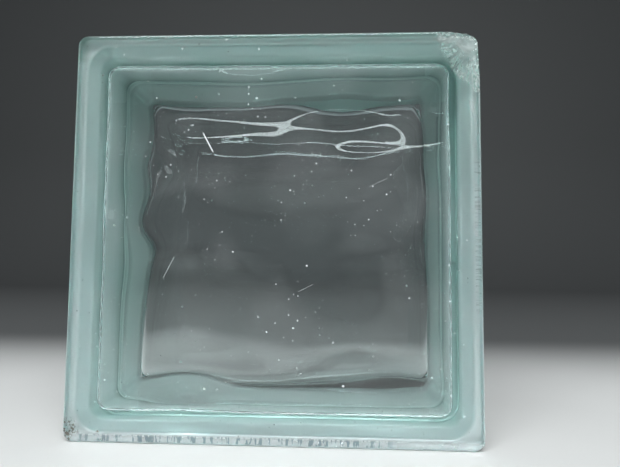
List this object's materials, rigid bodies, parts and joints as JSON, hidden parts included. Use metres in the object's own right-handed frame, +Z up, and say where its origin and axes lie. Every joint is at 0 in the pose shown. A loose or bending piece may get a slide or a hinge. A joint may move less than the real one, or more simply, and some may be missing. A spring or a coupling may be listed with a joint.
{
  "type": "glass block",
  "caption": "Square hollow glass block for walls and partitions, with waved inner panes, rounded face flanges and a mortar channel round its sides.",
  "frame": {"origin": "bottom centre of the block, on the plane that the lower flange edges rest on, half-way through its depth", "axes": "+X to the right across the front face, +Y through the block from the front face to the rear face, +Z up; the chipped corner is at the front, right and top"},
  "size_m": [0.19, 0.08, 0.19],
  "materials": {
    "clear_glass": "pressed clear soda-lime glass with a pale green tint, fire-polished faces"
  },
  "bodies": {
    "root": {"front_half": "clear_glass", "rear_half": "clear_glass"}
  },
  "joints": []
}
